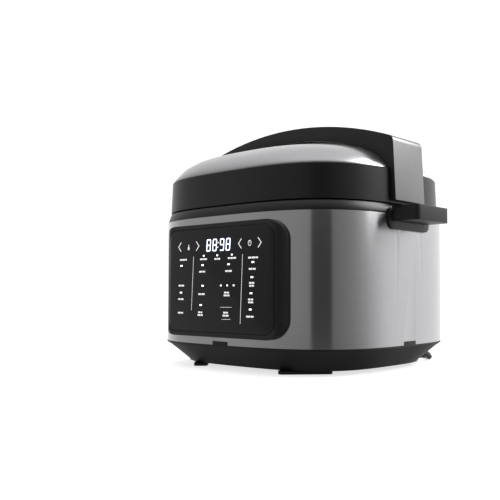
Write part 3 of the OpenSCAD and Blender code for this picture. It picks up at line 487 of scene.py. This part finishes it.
display_blue = lit("display_segments_lit", "#dfe6ff", 1.5)
# The white print glows faintly though no lamp lies behind it: a painted glow that keeps the marks bright.
print_with_painted_glow = surface("screen_print_white_painted_glow", "#d6d6d8", 0.5, grain(0.6), 0.0, 0.08,
                      Emission_Strength=0.55, Emission_Color=linear("#d6d6d8"))
lamp_white = lit("lamp_lit", "#ffffff", 1.6)
row = 129.5
segments = []
for x, shown in ((-14.2, "abcdefg"), (-5.0, "abcdefg"), (6.0, "abcdfg"), (15.0, "abcdefg")):
    segments += digit(x, row, shown)
segments += [bar(0.6, row + 2.4, 1.1, 1.1), bar(0.3, row - 2.4, 1.1, 1.1)]
marks("display_digits", segments, display_blue)
signs = []
for x, way in ((-60, -1), (-31, 1), (32.5, -1), (60, 1)):
    signs += arrow(x, row, way)
signs += [stroke(-45.4, row - 2.4, -45.4, row + 1.4, 1.1)] + loop(-45.4, row - 2.2, 1.3, 0.6)
signs += loop(46.3, row, 2.6, 0.55, 0.8) + [stroke(46.3, row, 46.3, row + 1.6, 0.5)]
signs += [stroke(-37.4, 118.5, -40.2, 62, 0.45), stroke(36.4, 118.5, 33.4, 50, 0.45)]
for x, z, pieces in ((-54, 115.6, (3, 4.2, 2.4)), (-21.7, 115.4, (4.6, 5.2)), (-0.6, 115.1, (3.6, 4.4)),
                     (21.2, 115.4, (3, 3.4, 4)), (51, 115, (4.4, 5, 2.6)), (-57, 88, (4, 4.4)),
                     (49.9, 103.9, (4.6, 4)), (49.2, 90.2, (3.6, 2.6)), (49.2, 87.4, (2.6, 3)),
                     (47.9, 74, (3.2, 3)), (47.9, 71.2, (2.4, 3.6)), (46.9, 57.2, (5.4, 4)),
                     (-24.4, 79, (4.6, 4.4)), (13.6, 80.6, (3.4, 3)), (13.6, 77.8, (4.6, 3)),
                     (-26.3, 60, (3.4, 2.4)), (-26.3, 57.2, (4.2, 3)), (16.3, 102.4, (3.8, 5)),
                     (-23.6, 102.4, (5, 3.4)), (-57.6, 73.5, (3.2, 4.6)), (-58, 59, (4.4, 3.2)),
                     (12.3, 60.4, (3.4, 2.6)), (12.3, 57.4, (4.4, 3.6))):
    signs += caption(x, z, pieces)
signs += [stroke(4.5, 65.7, 20.5, 65.9, 0.35), stroke(7, 53.6, 19, 53.8, 0.35)]
marks("printed_signs", signs, print_with_painted_glow)
lamps = [bar(x, z, 2.1, 1.5) for x, z in ((-21.4, 118.9), (-0.6, 118.8), (21.1, 118.8))]
lamps += [bar(x, z, 3.4, 1.5) for x, z in ((50.8, 110.6), (49.6, 95.8), (48.4, 80.1), (47.4, 64.2),
                                           (16.3, 109.2), (-23, 109.2), (-22.7, 87.7), (-25.6, 67.6),
                                           (-57, 109.2), (-57.6, 80.5))]
lamps += [bar(x, 87.9, 1.9, 1.5) for x in (5.2, 14.5, 23.8)]
marks("lamps", lamps, lamp_white)

# ---------------------------------------------------------------- boards
# Two glass-epoxy boards stand on nylon posts behind the window: the front one
# carries display and touch pads, the rear one relay, transformer and terminals.
solder_green = surface("glass_epoxy_green", "#1d5a3c", 0.4, grain(2.2, 4), 0.03, 0.35, 0.08)
tan_board = surface("paper_phenolic_tan", "#a8814b", 0.5, grain(1.6, 4), 0.02, 0.15, 0.06)
nylon = surface("nylon_natural", "#d9d6cb", 0.45, grain(1.0), 0.02, 0.05, 0.05)
part_plastic = surface("epoxy_case_black", "#202124", 0.4, grain(0.8), 0.02, 0.1, 0.05)
display_case = surface("display_case_milky", "#cfd6e4", 0.35, grain(1.2), 0.01, 0.05, 0.04)
dress("control_board", solder_green)
dress("power_board", tan_board)
dress("board_posts", nylon, 0.2)
dress("board_parts", part_plastic, 0.5)
dress("display_module", display_case, 0.3)

# ---------------------------------------------------------------- side handles
# Two hollow black ABS grips are screwed through the steel from inside. Each has
# a flange that follows the wrap.
for node in ("handle_left", "handle_right"):
    dress(node, satin_abs, 1.6)
dress("handle_screws", zinc_screw, 0.2)

# ---------------------------------------------------------------- drip cup
# A small smoke-grey cup hangs in a black bracket at the rear. It catches the
# water that runs off the lid, and slides out to the rear.
smoke_cup = surface("polypropylene_smoke", "#2e2f33", 0.22, grain(20, 2), 0.02, 0.08, 0.05, Coat_Weight=0.3)
dress("drip_cup", smoke_cup, 0.4)
dress("cup_bracket", moulded_abs, 0.8)

# ---------------------------------------------------------------- lid band
# The lid's wall is a black ABS moulding that tapers inwards. A fine step at its
# top edge seats the steel dome.
band_abs = surface("abs_band_satin", "#0d0d0e", 0.34, grain(0.9, 3), 0.018, 0.07, 0.05)
dress("lid_band", band_abs, 0, flat=False)
dress("lid_under_cover", moulded_abs, 0.4)

# ---------------------------------------------------------------- dome
# The dome is pressed from brushed stainless steel, with the brush lines running
# from side to side. It falls steeply at its edge and is nearly flat on top.
dome_steel = brushed("stainless_steel_brushed_across", "#bcbcbe", 0.28, 0.6, (60, 1, 1), 0.5, 0.0)
dress("lid_dome", dome_steel, 0, flat=False)

# ---------------------------------------------------------------- tray in the lid
# A sunken ABS tray gives the fingers room under the carrying handle. The steam
# valve, the release button and the float stand in it.
tray_abs = surface("abs_tray", "#1b1b1d", 0.46, grain(0.7, 4), 0.03, 0.1, 0.05)
grey_abs = surface("abs_grey", "#3c3d41", 0.4, grain(0.8, 3), 0.02, 0.08, 0.05)
button_abs = surface("abs_button_grey", "#77787c", 0.38, grain(0.8, 3), 0.02, 0.06, 0.05)
white_silicone = surface("silicone_white", "#d2d3ce", 0.5, grain(1.5), 0.02, 0.04, 0.05,
                         Subsurface_Weight=0.15, Subsurface_Radius=(2 * MM, 2 * MM, 1.6 * MM))
dress("valve_tray", tray_abs, 0.5)
dress("steam_valve", grey_abs, 0.7)
dress("steam_pipe", stamped_steel, 0.2)
dress("pipe_nut", zinc_screw, 0.4)
dress("valve_shield", stamped_steel, 0.3)
dress("release_button", button_abs, 0.8)
dress("release_lever", grey_abs, 0.4)
dress("lever_pin", zinc_screw, 0.2)
dress("float_pin", stamped_steel, 0.3)
dress("float_cap", white_silicone, 0.6)
coil_spring("release_coil", "release_spring", 6, 0.9, "lid")

# ---------------------------------------------------------------- carrying handle
# A hollow ABS arch spans the lid, with a wing that runs down over each side. A
# second shell closes it from below, and screws through the dome hold it. Every
# face that looks sideways, the wings' outer faces among them, gets a painted
# sheen: a lighter, half-metallic satin silver-grey with fine upright lines, in
# place of the gleam that the side light gives it.
handle_black = "#19191a"
handle_abs = surface("abs_handle_satin_painted_sheen", handle_black, 0.36, grain(0.9, 3), 0.018, 0.07, 0.05)
handle_shader = next(n for n in handle_abs.node_tree.nodes if n.type == "BSDF_PRINCIPLED")
# painted sheen: faces whose normal points along X turn a lighter silver-grey, standing in for side light
facing = add(handle_abs, "ShaderNodeSeparateXYZ",
             {0: add(handle_abs, "ShaderNodeTexCoord").outputs["Normal"]}).outputs["X"]
sideways = add(handle_abs, "ShaderNodeMath", {0: facing}, operation="ABSOLUTE").outputs[0]
sideways_sheen_mask = add(handle_abs, "ShaderNodeMapRange",
              {"Value": sideways, "From Min": 0.72, "From Max": 0.86}).outputs[0]
lines = add(handle_abs, "ShaderNodeMapRange", {"Value": grain(0.9, 3, (1, 1, 60))(handle_abs),
                                               "To Min": 0.88, "To Max": 1.12}).outputs[0]
sheen_silver = add(handle_abs, "ShaderNodeMix", {"Factor": 1.0, 6: linear("#828283"), 7: lines},
             data_type="RGBA", blend_type="MULTIPLY").outputs[2]
coloured = add(handle_abs, "ShaderNodeMix", {"Factor": sideways_sheen_mask, 6: linear(handle_black), 7: sheen_silver},
               data_type="RGBA")
handle_abs.node_tree.links.new(coloured.outputs[2], handle_shader.inputs["Base Color"])
# the painted sheen also makes these faces partly metallic
sheen_metallic = add(handle_abs, "ShaderNodeMath", {0: sideways_sheen_mask, 1: 0.7}, operation="MULTIPLY").outputs[0]
handle_abs.node_tree.links.new(sheen_metallic, handle_shader.inputs["Metallic"])
dress("lid_handle", handle_abs, 0.9)
dress("lid_handle_under", satin_abs, 0.4)
dress("lid_handle_screws", zinc_screw, 0.2)

# ---------------------------------------------------------------- liner and seal
# The pressed steel liner closes the pot and carries the lugs. A rack holds the
# white silicone ring that seals on the pot's flange.
dress("lid_liner", stamped_steel, 0.3)
dress("liner_screws", zinc_screw, 0.2)
dress("seal_rack", stamped_steel, 0.2)
dress("sealing_ring", white_silicone, 0.8)

# ---------------------------------------------------------------- floor and light
# A pale matt table in a white studio. The light is bright behind, overhead and
# to the right. The side of the viewer is dim, with one black flag in it.
floor_mesh = bpy.data.meshes.new("floor")
floor_shape = bmesh.new()
bmesh.ops.create_circle(floor_shape, cap_ends=True, segments=96, radius=9)
floor_shape.to_mesh(floor_mesh)
floor_shape.free()
floor = bpy.data.objects.new("floor", floor_mesh)
scene.collection.objects.link(floor)
floor_mesh.materials.append(surface("table_matt_white", "#f4f4f4", 0.9, grain(4, 3), 0.02, 0.01, 0.02,
                                    Emission_Color=linear("#ffffff"), Emission_Strength=0.7))
# the table stays out of the reflections, so that the steel mirrors the studio only
floor.visible_glossy = False

world = bpy.data.worlds.new("studio")
scene.world = world
world.use_nodes = True
world.node_tree.nodes.clear()
way = add(world, "ShaderNodeSeparateXYZ", {0: add(world, "ShaderNodeTexCoord").outputs["Generated"]}).outputs
front = add(world, "ShaderNodeMath", {0: way["Y"], 1: -1.0}, operation="MULTIPLY").outputs[0]
bearing = add(world, "ShaderNodeMath", {0: way["X"], 1: front}, operation="ARCTAN2").outputs[0]
round_the_room = add(world, "ShaderNodeMapRange",
                     {"Value": bearing, "From Min": -math.pi, "From Max": math.pi})
ramp = add(world, "ShaderNodeValToRGB", {"Fac": round_the_room.outputs[0]})
# brightness at each bearing in degrees: 0 is the front, 90 the right side
stops = ((-180, 0.97), (-115, 0.93), (-75, 0.42), (-30, 0.3), (24.5, 0.24), (25.5, 0.05), (57, 0.05),
         (58, 0.17), (76, 0.21), (95, 0.27), (112, 0.38), (125, 0.55), (135, 0.72), (145, 0.82),
         (165, 0.92), (180, 0.97))
for i, (degrees, shade) in enumerate(stops):
    stop = ramp.color_ramp.elements[i] if i < 2 else ramp.color_ramp.elements.new(1.0)
    stop.position = (degrees + 180) / 360
    stop.color = (shade, shade, shade, 1)
high = add(world, "ShaderNodeMapRange", {"Value": way["Z"], "From Min": 0.5, "From Max": 0.92}).outputs[0]
low = add(world, "ShaderNodeMapRange", {"Value": way["Z"], "From Min": -0.6, "From Max": -0.25}).outputs[0]
under = add(world, "ShaderNodeMix", {"Factor": low, 6: (0.14, 0.14, 0.14, 1), 7: ramp.outputs[0]},
            data_type="RGBA")
sky = add(world, "ShaderNodeMix", {"Factor": high, 6: under.outputs[2], 7: (0.8, 0.8, 0.8, 1)},
          data_type="RGBA")
seen = add(world, "ShaderNodeLightPath").outputs["Is Camera Ray"]
white = add(world, "ShaderNodeMix", {"Factor": seen, 6: sky.outputs[2], 7: (1, 1, 1, 1)}, data_type="RGBA")
backdrop = add(world, "ShaderNodeBackground", {"Color": white.outputs[2], "Strength": 1.12})
add(world, "ShaderNodeOutputWorld", {"Surface": backdrop.outputs[0]})


def softbox(name, turn_deg, height, distance, size, power):
    """A square soft light at that turn from the front, aimed at the cooker."""
    data = bpy.data.lights.new(name, "AREA")
    data.shape = "RECTANGLE"
    data.size, data.size_y = size
    data.energy = power
    lamp = bpy.data.objects.new(name, data)
    scene.collection.objects.link(lamp)
    turn = math.radians(turn_deg)
    lamp.location = (distance * math.sin(turn), -distance * math.cos(turn), height)
    aim = Vector((0, 0, 0.12)) - lamp.location
    lamp.rotation_euler = aim.to_track_quat("-Z", "Y").to_euler()


softbox("softbox_right", 138, 1.35, 1.5, (1.5, 1.0), 30)
